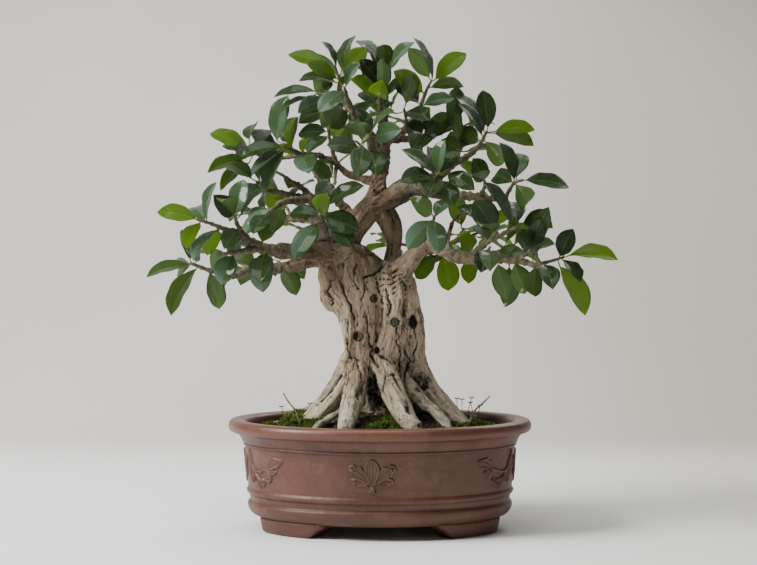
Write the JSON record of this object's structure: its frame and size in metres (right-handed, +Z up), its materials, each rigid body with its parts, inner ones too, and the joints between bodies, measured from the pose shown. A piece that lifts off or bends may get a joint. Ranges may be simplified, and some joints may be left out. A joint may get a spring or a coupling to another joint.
{
  "type": "potted bonsai tree",
  "caption": "Leafy bonsai with a flared, gnarled trunk and layered branches, growing in mossy soil in an oval footed clay pot with relief ornament.",
  "frame": {"origin": "centre of the bounding box on the floor plane the pot's feet rest on", "axes": "+X to the right along the pot's long side, +Y to the back (the pictured front faces -Y), +Z up"},
  "size_m": [0.4553, 0.331, 0.4962],
  "materials": {
    "clay": "satin reddish-brown fired clay",
    "screen": "matt black drain mesh",
    "soil": "dark loose soil with grit",
    "moss": "soft green moss",
    "twig": "dry twig",
    "bark": "tan cracked bark",
    "leaf": "glossy broad leaves on thin woody twigs"
  },
  "bodies": {
    "root": {"pot": "clay", "drain_screen_left": "screen", "drain_screen_right": "screen", "soil": "soil", "moss_front": "moss", "moss_left": "moss", "moss_right": "moss", "moss_back": "moss", "soil_twig_left": "twig", "soil_twig_right": "twig", "trunk": "bark", "left_low_outer": "leaf", "left_under_outer": "leaf", "left_middle": "leaf", "upper_left": "leaf", "high_left": "leaf", "left_top_low": "leaf", "centre_left_front": "leaf", "top_left": "leaf", "top_middle": "leaf", "top_right": "leaf", "top_low_front": "leaf", "top_back_right": "leaf", "centre_front": "leaf", "stub_shoot": "leaf", "right_branch_shoot": "leaf", "right_hanging": "leaf", "right_fork_shoot": "leaf", "right_fork_outer": "leaf", "right_high": "leaf", "right_middle": "leaf", "right_low_outer": "leaf", "back_left": "leaf", "back_right": "leaf", "back_middle": "leaf", "back_upper_left": "leaf", "back_upper_right": "leaf"}
  },
  "joints": []
}
